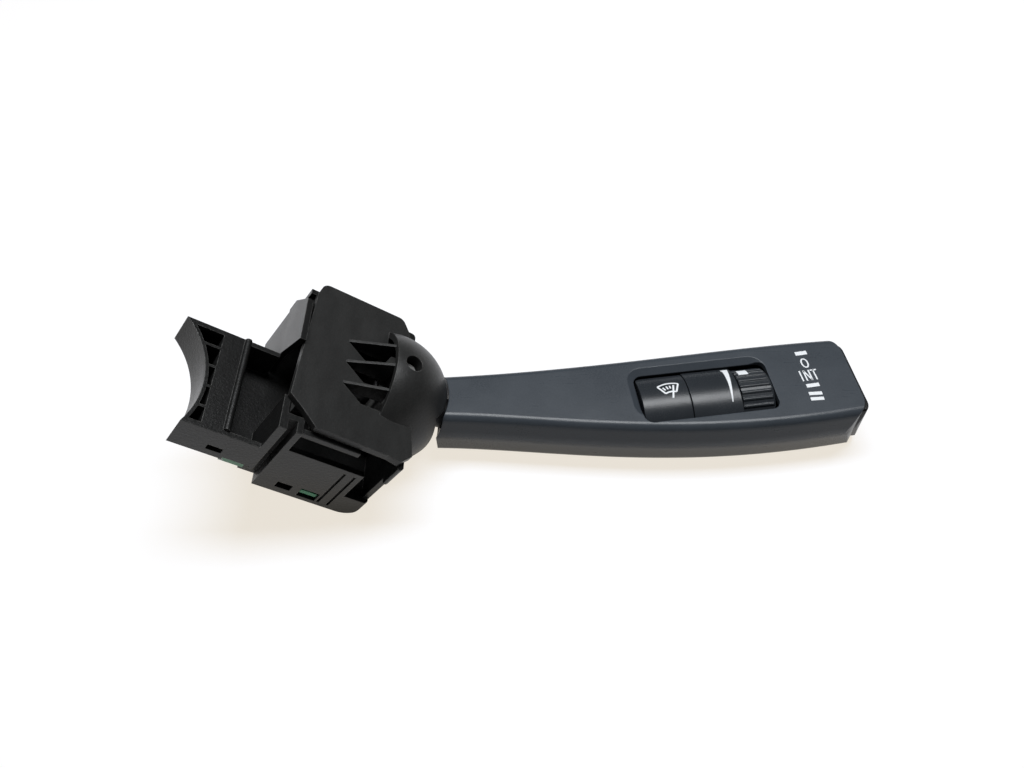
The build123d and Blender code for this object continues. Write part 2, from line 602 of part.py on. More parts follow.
with BuildPart() as connector_lock:
    socket_front = SOCKET_Y - SOCKET_D / 2 - SHROUD_WALL - COVER_GAP
    block(LOCK_LEFT, LOCK_RIGHT, BOX_FRONT + LOCK_SET_BACK, socket_front, LOCK_LOW, LOCK_LOW + LOCK)
    block(LOCK_LEFT, LOCK_RIGHT, IN_FRONT + COVER_GAP, socket_front, BOX_BOTTOM + COVER_FLOOR, LOCK_LOW)

with BuildPart() as detent_cam:
    track_r = TIP_REACH + CAM_GAP
    cam_half = track_r * sin(radians(SWEEP_DOWN + DETENT_STEP))
    block(CAM_BACK, -track_r * cos(radians(SWEEP_DOWN + DETENT_STEP)), -cam_half, cam_half, CAM_LOW, CAM_TOP)
    block(CAM_BACK, CAM_LEG, -cam_half, cam_half, FLOOR_TOP, CAM_LOW)
    with BuildSketch(Plane.XY.offset(CAM_LOW)):
        Circle(track_r)
        scallop_count = round((SWEEP_DOWN + SWEEP_UP) / DETENT_STEP) + 1
        for i in range(scallop_count):
            swing = radians(180 - SWEEP_DOWN + i * DETENT_STEP)
            notch = track_r - PLUNGER_TIP_R + SCALLOP_DEEP
            with Locations((notch * cos(swing), notch * sin(swing))):
                Circle(PLUNGER_TIP_R)
    extrude(amount=CAM_TOP - CAM_LOW, mode=Mode.SUBTRACT)

# ---------------------------------------------------------------- gimbal and contact slider
with BuildPart() as gimbal_yoke:
    Box(GIMBAL_X, GIMBAL_Y, GIMBAL_Z)
    fillet(gimbal_yoke.edges().filter_by(Axis.Z), GIMBAL_BAR / 2)
    Box(GIMBAL_X, 2 * (STEM_R + FREE_GAP), GIMBAL_Z - 2 * GIMBAL_BAR, mode=Mode.SUBTRACT)
    block(-SLIDER_ARM - DRIVE_R - ARM_WALL, 0, -DRIVE_R - ARM_WALL, DRIVE_R + ARM_WALL, GIMBAL_LOW,
          GIMBAL_LOW + ARM_WALL)
    with BuildSketch(Plane.XY.offset(GIMBAL_LOW)):
        with Locations((-SLIDER_ARM, 0)):
            Circle(DRIVE_R)
    extrude(amount=FLOOR_TOP + FREE_GAP - GIMBAL_LOW)
    with BuildSketch(Plane.XZ.offset(-GIMBAL_Y)):
        Circle(TILT_R + PIN_GAP)
    extrude(amount=2 * GIMBAL_Y, mode=Mode.SUBTRACT)
    with BuildSketch(Plane.XY.offset(GIMBAL_LOW)):
        Circle(SWIVEL_R)
    extrude(amount=GIMBAL_Z, mode=Mode.SUBTRACT)

with BuildPart() as swivel_pins:
    with BuildSketch(Plane.XY.offset(GIMBAL_HALF - GIMBAL_BAR)):
        Circle(SWIVEL_R)
    extrude(amount=BELL_IN - GIMBAL_HALF)
    with BuildSketch(Plane.XY.offset(GIMBAL_BAR - GIMBAL_HALF)):
        Circle(SWIVEL_R)
    extrude(amount=FLOOR_Z - GIMBAL_BAR + GIMBAL_HALF)
    chamfer(swivel_pins.faces().filter_by(Axis.Z).edges(), GIMBAL_BAR / 4)

with BuildPart() as contact_slider:
    block(-SLIDER_ARM - SLIDER_W / 2, -SLIDER_ARM + SLIDER_W / 2, -SLIDER_L / 2, SLIDER_L / 2,
          FLOOR_TOP + PIN_GAP, FLOOR_TOP + SLIDER_H)
    with BuildSketch(Plane.XY.offset(FLOOR_TOP)):
        with Locations((-SLIDER_ARM, 0)):
            SlotOverall(SLIDER_W - ARM_WALL, 2 * (DRIVE_R + 3 * PIN_GAP))
    extrude(amount=SLIDER_H, mode=Mode.SUBTRACT)

with BuildPart() as contact_brushes:
    for y in (-SLIDER_L / 2 + RAIL_W, SLIDER_L / 2 - RAIL_W):
        block(-SLIDER_ARM - RAIL_W / 2, -SLIDER_ARM + RAIL_W / 2, y - RAIL_W / 2, y + RAIL_W / 2,
              FLOOR_Z + PIN_GAP, FLOOR_TOP + PIN_GAP)

# ---------------------------------------------------------------- lever: stem group
with BuildPart() as lever_stem:
    with BuildSketch(stem_plane(-TILT_R - WALL)):
        Circle(STEM_R)
    extrude(amount=STEM_LEN + TILT_R + WALL)
    with BuildSketch(stem_plane(-TAIL_LEN)):
        Circle(TAIL_R)
    extrude(amount=TAIL_LEN)
    block(tang_x - TILT_R, TANG_END, -TANG_W / 2, TANG_W / 2, tang_low, tang_high)
    with BuildSketch(Plane.XZ.offset(-STEM_R)):
        Circle(TILT_R)
    extrude(amount=2 * STEM_R, mode=Mode.SUBTRACT)
    # bore of the detent plunger and its spring
    with BuildSketch(stem_plane(-TAIL_LEN)):
        Circle(PLUNGER_R + PIN_GAP)
    extrude(amount=TAIL_LEN - TILT_R - WALL, mode=Mode.SUBTRACT)

with BuildPart() as tilt_pin:
    with BuildSketch(Plane.XZ.offset(-GIMBAL_Y / 2)):
        Circle(TILT_R)
    extrude(amount=GIMBAL_Y)

BORE_DEEP = TAIL_LEN - TILT_R - WALL
with BuildPart() as detent_plunger:
    with BuildSketch(stem_plane(-TAIL_LEN - PLUNGER_OUT + PLUNGER_TIP_R)):
        Circle(PLUNGER_TIP_R)
    extrude(amount=PLUNGER_OUT)
    with Locations(stem_plane(-TAIL_LEN - PLUNGER_OUT + PLUNGER_TIP_R).origin):
        Sphere(PLUNGER_TIP_R)
    with BuildSketch(stem_plane(-TAIL_LEN)):
        Circle(PLUNGER_R)
    extrude(amount=BORE_DEEP / 2)

with BuildPart() as detent_spring:
    with BuildSketch(stem_plane(-TAIL_LEN + BORE_DEEP / 2 + PLUNGER_TRAVEL)):
        Circle(PLUNGER_R - PIN_GAP)
        Circle(PLUNGER_R / 2, mode=Mode.SUBTRACT)
    extrude(amount=BORE_DEEP / 2 - PLUNGER_TRAVEL)

with BuildPart() as ball_collar:
    with BuildSketch(Plane.XZ):
        with BuildLine():
            ball_section(COLLAR_R, -COLLAR_R + BELL_TOP_FLAT, COLLAR_R - BELL_TOP_FLAT)
        make_face()
    revolve(axis=Axis.Z)
    with BuildSketch(Plane.XZ):
        with BuildLine():
            ball_section(COLLAR_IN, -COLLAR_IN + BELL_TOP_FLAT, COLLAR_IN - BELL_TOP_FLAT)
        make_face()
    revolve(axis=Axis.Z, mode=Mode.SUBTRACT)
    with BuildSketch(stem_plane(0)):
        Rectangle(2 * COLLAR_HALF_W, 2 * COLLAR_HALF_H)
    extrude(amount=2 * COLLAR_R, mode=Mode.INTERSECT)
    with BuildSketch(stem_plane(0)):
        Circle(STEM_R)
    extrude(amount=2 * COLLAR_R, mode=Mode.SUBTRACT)


# ---------------------------------------------------------------- lever: shells
with BuildPart() as lever_form:
    for along, centre, half, heading in STATIONS:
        with BuildSketch(frame_at(0, along, centre, 0, heading)) as outline:
            lever_section(outline, half, 0)
    loft()
    Sphere(ROOT_R, mode=Mode.SUBTRACT)
    with BuildSketch(tip_plane.offset(LEVER_BOTTOM)) as tip_plan:
        Rectangle(END_X, 2 * (tip_half + SIDE_BULGE + FREE_GAP), align=(Align.MAX, Align.CENTER))
        fillet(tip_plan.vertices().group_by(Axis.X)[-1], TIP_CORNER_R)
        with Locations((-TIP_CORNER_R, 0)):
            Rectangle(2 * END_X, 4 * tip_half, align=(Align.MAX, Align.CENTER))
    extrude(amount=-2 * LEVER_BOTTOM, mode=Mode.INTERSECT)

with BuildPart() as lever_hollow:
    for along, centre, half, heading in STATIONS:
        with BuildSketch(frame_at(0, along, centre, 0, heading)):
            hollow_section(half)
    loft(ruled=True)
    Sphere(ROOT_R + SHELL_WALL, mode=Mode.SUBTRACT)
    block(0, STATIONS[0][0] + SHELL_WALL, -END_X, END_X, 2 * LEVER_BOTTOM, -LEVER_BOTTOM, Mode.SUBTRACT)
    with BuildSketch(stem_plane(0)):
        Circle(STEM_R + PIN_GAP)
    extrude(amount=STEM_LEN)
    with BuildSketch(frame_at(0, END_X, tip_y, 0, tip_heading)) as outline:
        lever_section(outline, tip_half, ROCKER_RIM - ROCKER_GAP)
    extrude(amount=-ROCKER_DEEP - rocker_swing - ROCKER_GAP)

with BuildPart() as lever_upper_shell:
    add(lever_form.part)
    add(lever_hollow.part, mode=Mode.SUBTRACT)
    block(0, 2 * END_X, -END_X, END_X, 2 * LEVER_BOTTOM, PARTING, Mode.SUBTRACT)
    # the web that carries the right end of the wheel's axle, and the boss of the rocker's pin
    with BuildSketch(barrel_plane(axle_to - AXLE_WEB)):
        with Locations((0, -HUB_R)):
            Rectangle(2 * HUB_R, LID_UNDER - BARREL_Z + HUB_R + SHELL_WALL / 2,
                      align=(Align.CENTER, Align.MIN))
    extrude(amount=AXLE_WEB)
    with BuildSketch(tip_plane.offset(LUG_HIGH + ROCKER_GAP)):
        with Locations((-ROCKER_PIN_BACK, 0)):
            Circle(LUG_R)
    extrude(amount=LID_UNDER + SHELL_WALL / 2 - LUG_HIGH - ROCKER_GAP)
    for x in RIB_XS:
        block(x - GRIP_RIB / 2, x + GRIP_RIB / 2, -GRIP_HALF, GRIP_HALF, tang_high, LID_UNDER + SHELL_WALL / 2)
    with BuildSketch(barrel_plane(wheel_at)):
        Circle(AXLE_R)
    extrude(amount=axle_to - wheel_at, mode=Mode.SUBTRACT)
    with BuildSketch(tip_plane.offset(LUG_HIGH)):
        with Locations((-ROCKER_PIN_BACK, 0)):
            Circle(ROCKER_PIN_R)
    extrude(amount=LID_UNDER - LUG_HIGH, mode=Mode.SUBTRACT)
    # pocket for the controls, dished round its left end and back
    with BuildSketch(control_plane):
        with Locations((wheel_end / 2, 0)):
            RectangleRounded(pocket_len, 2 * POCKET_HALF, POCKET_CORNER)
    extrude(amount=-2 * LEVER_BOTTOM, mode=Mode.SUBTRACT)
    with BuildSketch(control_plane.offset(LEVER_TOP - BARREL_Z)):
        with Locations((-POCKET_GAP - dish_out, dish_out)):
            RectangleRounded(pocket_len + dish_out, 2 * POCKET_HALF, DISH_CORNER,
                             align=(Align.MIN, Align.CENTER))
    extrude(amount=-DISH, taper=DISH_SLOPE, mode=Mode.SUBTRACT)

with BuildPart() as lever_lower_shell:
    add(lever_form.part)
    add(lever_hollow.part, mode=Mode.SUBTRACT)
    block(0, 2 * END_X, -END_X, END_X, PARTING, -LEVER_BOTTOM, Mode.SUBTRACT)
    for x in RIB_XS:
        block(x - GRIP_RIB / 2, x + GRIP_RIB / 2, -GRIP_HALF, GRIP_HALF, WELL_FLOOR - SHELL_WALL / 2, tang_low)
    with BuildSketch(control_plane.offset(WELL_FLOOR - SHELL_WALL / 2 - BARREL_Z)):
        with Locations((axle_from / 2, 0)):
            with GridLocations(axle_from - 6 * BOARD_POST_R, 2 * (SWITCH_HALF + 2 * BOARD_POST_R), 2, 2):
                Circle(BOARD_POST_R)
    extrude(amount=LEVER_BOARD_LOW - WELL_FLOOR + SHELL_WALL / 2 + BARREL_Z)
    with BuildSketch(tip_plane.offset(WELL_FLOOR - SHELL_WALL / 2)):
        with Locations((-ROCKER_PIN_BACK, 0)):
            Circle(LUG_R)
    extrude(amount=LUG_LOW - ROCKER_GAP - WELL_FLOOR + SHELL_WALL / 2)
    with BuildSketch(tip_plane.offset(WELL_FLOOR)):
        with Locations((-ROCKER_PIN_BACK, 0)):
            Circle(ROCKER_PIN_R)
    extrude(amount=LUG_LOW - WELL_FLOOR, mode=Mode.SUBTRACT)

# ---------------------------------------------------------------- lever: controls
with BuildPart() as control_bezel:
    with BuildSketch(barrel_plane(bridge_at)):
        with BuildLine():
            crowned_pad(POCKET_HALF - COVER_GAP, 0)
        make_face()
    extrude(amount=BRIDGE_LEN)
    with BuildSketch(barrel_plane(bridge_at)):
        with BuildLine():
            crowned_pad(PAD_HALF - PAD_WALL, PAD_WALL)
        make_face()
    extrude(amount=BRIDGE_LEN - AXLE_WEB, mode=Mode.SUBTRACT)
    with BuildSketch(barrel_plane(axle_from)):
        with Locations((0, WELL_FLOOR - BARREL_Z)):
            Rectangle(2 * (PAD_HALF - PAD_WALL), PAD_TOP - PAD_SAG - WELL_FLOOR + BARREL_Z,
                      align=(Align.CENTER, Align.MIN))
        Circle(AXLE_R, mode=Mode.SUBTRACT)
    extrude(amount=AXLE_WEB)

with BuildPart() as lever_board:
    with BuildSketch(control_plane.offset(LEVER_BOARD_LOW)):
        with Locations((axle_from / 2, 0)):
            Rectangle(axle_from - 2 * COVER_GAP, 2 * (PAD_HALF - PAD_WALL))
    extrude(amount=LEVER_BOARD)

with BuildPart() as button_switch:
    with BuildSketch(control_plane.offset(LEVER_BOARD_LOW + LEVER_BOARD)):
        with Locations((BUTTON_LEN / 2, 0)):
            Rectangle(2 * SWITCH_HALF, 2 * SWITCH_HALF)
    extrude(amount=SWITCH_TOP - LEVER_BOARD_LOW - LEVER_BOARD)

with BuildPart() as sensor_button:
    with BuildSketch(barrel_plane(0)):
        with BuildLine():
            crowned_pad(PAD_HALF, 0)
        make_face()
    extrude(amount=BUTTON_LEN)
    fillet(sensor_button.edges().filter_by(Axis.Z).sort_by(Axis.X)[:2], BUTTON_CORNER)
    with BuildSketch(barrel_plane(PAD_WALL)):
        with BuildLine():
            crowned_pad(PAD_HALF - PAD_WALL, PAD_WALL)
        make_face()
    extrude(amount=BUTTON_LEN - 2 * PAD_WALL, mode=Mode.SUBTRACT)
    post_low = SWITCH_TOP + BUTTON_TRAVEL + PIN_GAP
    with BuildSketch(control_plane.offset(post_low)):
        with Locations((BUTTON_LEN / 2, 0)):
            Rectangle(2 * POST_HALF, 2 * POST_HALF)
    extrude(amount=PAD_TOP - PAD_WALL + PAD_GAP - post_low)

with BuildPart() as wheel_envelope:
    with BuildSketch(barrel_plane(wheel_at)):
        Circle(WHEEL_R + RIB_PROUD)
    extrude(amount=WHEEL_LEN)
    chamfer(wheel_envelope.faces().sort_by(Axis.X)[-1].edges(), WHEEL_END_CUT)

with BuildPart() as thumbwheel:
    rib_step = (WHEEL_REAR + WHEEL_FRONT) / (WHEEL_RIBS - 1)
    with BuildSketch(barrel_plane(wheel_at)):
        with BuildLine():
            ring_sector(WHEEL_R, WHEEL_R - WHEEL_WALL, -WHEEL_FRONT, WHEEL_REAR)
        make_face()
        rib_at = WHEEL_R + RIB_PROUD - RIB_R
        with Locations(*[clock(rib_at, i * rib_step - WHEEL_FRONT) for i in range(WHEEL_RIBS)]):
            Circle(RIB_R)
    extrude(amount=WHEEL_LEN)
    with BuildSketch(barrel_plane(wheel_at)):
        with BuildLine():
            ring_sector(WHEEL_R - WHEEL_WALL / 2, HUB_R / 2, -WHEEL_FRONT, WHEEL_REAR)
        make_face()
    extrude(amount=WHEEL_WEB)
    with BuildSketch(barrel_plane(wheel_at)):
        Circle(HUB_R)
    extrude(amount=WHEEL_LEN)
    with BuildSketch(barrel_plane(wheel_at)):
        Circle(AXLE_R + PIN_GAP)
    extrude(amount=WHEEL_LEN, mode=Mode.SUBTRACT)
    add(wheel_envelope.part, mode=Mode.INTERSECT)

with BuildPart() as wheel_axle:
    with BuildSketch(barrel_plane(axle_from)):
        Circle(AXLE_R)
    extrude(amount=axle_to - axle_from)

with BuildPart() as end_rocker:
    with BuildSketch(frame_at(-ROCKER_DEEP, END_X, tip_y, 0, tip_heading)) as outline:
        lever_section(outline, tip_half, ROCKER_RIM)
    extrude(amount=ROCKER_DEEP + ROCKER_PROUD)
    with BuildSketch(tip_plane.offset(LEVER_BOTTOM)) as rocker_plan:
        with Locations((ROCKER_PROUD, 0)):
            Rectangle(ROCKER_DEEP + ROCKER_PROUD, 2 * (tip_half + SIDE_BULGE - ROCKER_RIM),
                      align=(Align.MAX, Align.CENTER))
        fillet(rocker_plan.vertices().group_by(Axis.X)[-1], ROCKER_CORNER_R)
    extrude(amount=-2 * LEVER_BOTTOM, mode=Mode.INTERSECT)
    with BuildSketch(frame_at(-ROCKER_DEEP, END_X, tip_y, 0, tip_heading)) as outline:
        lever_section(outline, tip_half, ROCKER_RIM + ROCKER_WALL)
    extrude(amount=ROCKER_DEEP + ROCKER_PROUD - 2 * ROCKER_WALL, mode=Mode.SUBTRACT)
    with BuildSketch(tip_plane.offset(LUG_LOW)):
        with Locations((-ROCKER_PIN_BACK, 0)):
            Circle(LUG_R)
            Rectangle(ROCKER_PIN_BACK, 2 * LUG_R, align=(Align.MIN, Align.CENTER))
    extrude(amount=LUG_HIGH - LUG_LOW)
    with BuildSketch(tip_plane.offset(LUG_LOW)):
        with Locations((-ROCKER_PIN_BACK, 0)):
            Circle(ROCKER_PIN_R + PIN_GAP)
    extrude(amount=LUG_HIGH - LUG_LOW, mode=Mode.SUBTRACT)

with BuildPart() as rocker_pin:
    with BuildSketch(tip_plane.offset(WELL_FLOOR)):
        with Locations((-ROCKER_PIN_BACK, 0)):
            Circle(ROCKER_PIN_R)
    extrude(amount=LID_UNDER - WELL_FLOOR)

# ---------------------------------------------------------------- placing and writing out
housing_parts = (
    ("base_housing", base_housing), ("top_cover", top_cover), ("bottom_cover", bottom_cover),
    ("circuit_board", circuit_board), ("connector_pins", connector_pins), ("cover_screws", cover_screws),
    ("connector_lock", connector_lock),
    ("detent_cam", detent_cam), ("gimbal_yoke", gimbal_yoke), ("swivel_pins", swivel_pins),
    ("contact_slider", contact_slider), ("contact_brushes", contact_brushes))
lever_parts = (
    ("lever_stem", lever_stem), ("tilt_pin", tilt_pin), ("detent_plunger", detent_plunger),
    ("detent_spring", detent_spring), ("ball_collar", ball_collar),
    ("lever_upper_shell", lever_upper_shell), ("lever_lower_shell", lever_lower_shell),
    ("control_bezel", control_bezel), ("lever_board", lever_board), ("button_switch", button_switch),
    ("sensor_button", sensor_button), ("thumbwheel", thumbwheel), ("wheel_axle", wheel_axle),
    ("end_rocker", end_rocker), ("rocker_pin", rocker_pin))
canted = Location((0, 0, 0), (0, CANT, 0))
placed = {name: piece.part.moved(canted) for name, piece in housing_parts}
placed.update({name: piece.part for name, piece in lever_parts})
boxes = [piece.bounding_box() for piece in placed.values()]
left = min(box.min.X for box in boxes)
right = max(box.max.X for box in boxes)
front = min(box.min.Y for box in boxes)
back = max(box.max.Y for box in boxes)
low = min(box.min.Z for box in boxes)
row = Location((-(left + right) / 2, -(front + back) / 2, -low))
for name, piece in placed.items():
    finished = piece.moved(row)
    finished.label = name
    export_step(finished, f"parts/{name}.step")
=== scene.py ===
"""Finishes, markings and stage for a wiper combination stalk switch, laid out as an add-on.

Lengths in comments are millimetres.  The lever's frame has its origin in the gimbal's centre, with X
along the lever, Y towards its back and Z up.
"""

import json
from math import cos, radians, sin

import bpy
import numpy as np
from bpy.props import FloatProperty, FloatVectorProperty, PointerProperty
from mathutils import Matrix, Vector


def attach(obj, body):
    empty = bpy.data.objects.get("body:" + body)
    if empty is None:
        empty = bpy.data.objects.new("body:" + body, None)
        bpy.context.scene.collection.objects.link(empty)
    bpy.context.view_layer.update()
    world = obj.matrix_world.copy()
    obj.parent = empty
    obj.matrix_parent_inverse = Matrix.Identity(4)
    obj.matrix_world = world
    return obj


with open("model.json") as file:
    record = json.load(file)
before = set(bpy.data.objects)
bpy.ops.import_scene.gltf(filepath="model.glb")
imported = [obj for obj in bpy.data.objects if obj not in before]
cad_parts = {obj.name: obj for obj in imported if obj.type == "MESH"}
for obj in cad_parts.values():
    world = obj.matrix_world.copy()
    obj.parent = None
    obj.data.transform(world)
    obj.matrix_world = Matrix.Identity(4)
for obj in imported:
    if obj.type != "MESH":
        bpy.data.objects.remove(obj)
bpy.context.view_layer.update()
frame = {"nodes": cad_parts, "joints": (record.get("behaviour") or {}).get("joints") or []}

bl_info = {
    "name": "Combination stalk switch",
    "version": (1, 0, 0),
    "blender": (4, 5, 0),
    "location": "3D View > Sidebar > Stalk",
    "description": "Finishes, markings and stage for a steering column stalk switch",
    "category": "Object",
}

MM = 0.001
joints = {joint["name"]: joint for joint in frame["joints"]}
pivot = Vector(joints["speed_select"]["pos_m"])
BARREL_HEADING = radians(8.0)
BARREL_START = 71.9      # left end of the control barrel, along the lever
BARREL_SIDE = -0.4
BARREL_HIGH = -8.0
LEVER_TOP = 0.4
PAD_TOP = 9.3            # crown of the button and the bridge above the barrel's line
BUTTON_CROWN_R = 12.71
BRIDGE_CROWN_R = 13.83
WHEEL_R = 9.92

# printed marks, in millimetres on their surface unless a unit grid is named
STROKE_STEP = 0.33       # spacing of the points along a stroke
INK_DEPTH = 3.0          # how far a stroke reaches below its top, in heights of the ink
STROKE = 0.115           # width of a letter's stroke, on the unit grid
LEGEND_HEADING = 10.0    # degrees
SIGN_PLACE = (5.7, 0.1)
SIGN_HEADING = 6.0       # degrees
SIGN_SIZE = 5.6
SIGN_HUB = (0.5, -0.62)  # centre of the windscreen's two arcs, on the unit grid
SIGN_TOP_R = 1.2
SIGN_FOOT_R = 0.62
SIGN_ARC_START, SIGN_ARC_END = 117.0, 63.0      # degrees
SIGN_ARC_POINTS = 14
SIGN_STROKE = 0.09
DROP_STROKE = 0.08
WEDGE_PATH = [(26.0, 7.6), (26.0, 6.2), (25.5, 0.8), (24.9, -4.8)]
WEDGE_WIDTHS = [2.1, 1.5, 0.8, 0.3]
INDEX_PATH = [(28.9, 4.9), (31.7, 4.9)]
INDEX_WIDTH = 2.8
INDEX_RISE = 3.0         # in heights of the ink

# finishes
NORMAL_SAMPLES = 6       # of the bevel and occlusion nodes
PAINTED_SHADE_REACH = 0.014     # distance in metres over which painted shade darkens a hollow
# colour of the painted shade deep in hollows, laid on by an occlusion mask
PAINTED_CAVITY_SHADE = (0.0012, 0.0012, 0.0012)
RUBBED_EDGE = (0.26, 0.255, 0.245)
ACETAL = (0.06, 0.06, 0.058)
STEM_BLACK = (0.028, 0.028, 0.03)
ROCKER_BLACK = (0.006, 0.006, 0.0065)
ZINC_STEEL = (0.56, 0.56, 0.55)
TINNED_BRASS = (0.72, 0.6, 0.36)
TINNED_PAD = (0.6, 0.62, 0.6)
LOCK_GREEN = (0.05, 0.42, 0.2)
SOLDER_MASK = (0.03, 0.17, 0.07)
COPPER_LANE = (0.07, 0.34, 0.16)

# stage, in metres unless said
FLOOR_REACH = 3.0
FLOOR_POINTS = 9         # along each side of the floor
FLOOR_DROP = 0.00002     # keeps the floor clear of the part's lowest point
FLOOR_SCATTER = (0.3, 0.29, 0.28)      # the floor as it lights the part
WHITE = (1.0, 1.0, 1.0)
DOME_TINT = (0.94, 0.97, 1.0)
LAMP_TINT = (0.96, 0.98, 1.0)
KEY_PLACE, KEY_TARGET, KEY_SIZE = (0.03, 0.16, 0.62), (0.03, 0.0, 0.01), (0.6, 0.2)
FILL_PLACE, FILL_TARGET, FILL_SIZE = (-0.1, -0.75, 0.32), (0.0, 0.0, 0.01), (0.6, 0.4)
EYE_PLACE = (36.217, -154.2, 196.53)   # camera from the pivot, in millimetres
EYE_TILT = 39.0                        # degrees up from straight down
SENSOR_WIDTH = 36.0                    # millimetres
CLIP_START, CLIP_END = 0.01, 20.0


# ---------------------------------------------------------------- settings
class StageSettings(bpy.types.PropertyGroup):
    floor_glow: FloatVectorProperty(
        name="Floor glow", description="Light that the floor gives in a shadow, as the camera sees it",
        default=(0.80, 0.745, 0.66), subtype="COLOR", min=0.0, max=1.0)
    floor_colour: FloatVectorProperty(
        name="Floor colour", description="Diffuse share of the floor, which takes the shadow",
        default=(0.22, 0.27, 0.36), subtype="COLOR", min=0.0, max=1.0)
    dome_strength: FloatProperty(
        name="Dome", description="Even light from all round", default=0.05, min=0.0, max=2.0)
    key_power: FloatProperty(
        name="Soft box", description="Power of the soft box above the lever", default=5.4, min=0.0, max=50.0,
        unit="POWER")
    fill_power: FloatProperty(
        name="Fill", description="Power of the low front fill", default=0.12, min=0.0, max=50.0, unit="POWER")
    focal: FloatProperty(
        name="Focal length", description="Lens of the camera", default=31.64, min=10.0, max=200.0)


class HousingSettings(bpy.types.PropertyGroup):
    plastic: FloatVectorProperty(
        name="Housing colour", description="Glass-filled nylon of the box and bracket",
        default=(0.007, 0.007, 0.0068), subtype="COLOR", min=0.0, max=1.0)
    cover: FloatVectorProperty(
        name="Cover colour", description="Plastic of the dome, fins and covers",
        default=(0.017, 0.017, 0.0165), subtype="COLOR", min=0.0, max=1.0)
    grain: FloatProperty(
        name="Grain size", description="Pitch of the eroded mould texture", default=0.00035, min=0.00005,
        max=0.003, unit="LENGTH")
    wear: FloatProperty(
        name="Edge wear", description="How far the moulded edges are rubbed pale", default=0.45, min=0.0,
        max=1.0, subtype="FACTOR")


class LeverSettings(bpy.types.PropertyGroup):
    plastic: FloatVectorProperty(
        name="Lever colour", description="Satin charcoal of the lever's shells",
        default=(0.041, 0.048, 0.057), subtype="COLOR", min=0.0, max=1.0)
    control: FloatVectorProperty(
        name="Control colour", description="Plastic of the button, bridge and wheel",
        default=(0.021, 0.024, 0.028), subtype="COLOR", min=0.0, max=1.0)
    roughness: FloatProperty(
        name="Roughness", description="Sheen of the lever's satin skin", default=0.3, min=0.05, max=1.0,
        subtype="FACTOR")
    grain: FloatProperty(
        name="Grain size", description="Pitch of the lever's fine grain", default=0.00022, min=0.00005,
        max=0.002, unit="LENGTH")


class MarkingSettings(bpy.types.PropertyGroup):
    ink: FloatVectorProperty(
        name="Ink", description="Printed legends", default=(0.78, 0.80, 0.82), subtype="COLOR", min=0.0,
        max=1.0)
    thickness: FloatProperty(
        name="Ink height", description="How far the print stands above the skin", default=0.00005,
        min=0.00001, max=0.0005, unit="LENGTH")
    letter_height: FloatProperty(
        name="Letter height", description="Height of the speed legends", default=0.00375, min=0.001,
        max=0.01, unit="LENGTH")


# ---------------------------------------------------------------- shader maths
def feed(tree, socket, item):
    """Links a Value to a socket, or writes a number, a vector or a colour there."""
    if isinstance(item, Value):
        tree.links.new(item.socket, socket)
    elif hasattr(item, "__len__"):
        socket.default_value = tuple(item) + (1.0,) * (len(socket.default_value) - len(item))
    else:
        socket.default_value = item


def shader_node(tree, kind, colour):
    """A shader node of this colour."""
    node = tree.nodes.new(kind)
    feed(tree, node.inputs["Color"], colour)
    return node


def shader_mix(tree, factor, low, high):
    """Mix of two shader nodes, all of high where the factor is 1."""
    choice = tree.nodes.new("ShaderNodeMixShader")
    tree.links.new(factor.socket, choice.inputs[0])
    tree.links.new(low.outputs[0], choice.inputs[1])
    tree.links.new(high.outputs[0], choice.inputs[2])
    return choice


class Value:
    """One output socket, on which arithmetic adds Math nodes to its tree."""

    def __init__(self, tree, socket):
        self.tree, self.socket = tree, socket

    def math(self, operation, *others, clamp=False):
        node = self.tree.nodes.new("ShaderNodeMath")
        node.operation, node.use_clamp = operation, clamp
        for slot, item in enumerate((self,) + others):
            feed(self.tree, node.inputs[slot], item)
        return Value(self.tree, node.outputs[0])

    def __add__(self, other):
        return self.math("ADD", other)

    def __mul__(self, other):
        return self.math("MULTIPLY", other)

    def __sub__(self, other):
        return self.math("SUBTRACT", other)

    def __rsub__(self, other):
        return (self * -1.0).math("ADD", other)

    def __truediv__(self, other):
        return self.math("DIVIDE", other)

    def clamped(self):
        return self.math("ADD", 0.0, clamp=True)

    def above(self, low, high):
        """0 below low, 1 above high, straight between."""
        return ((self - low) / (high - low)).clamped()


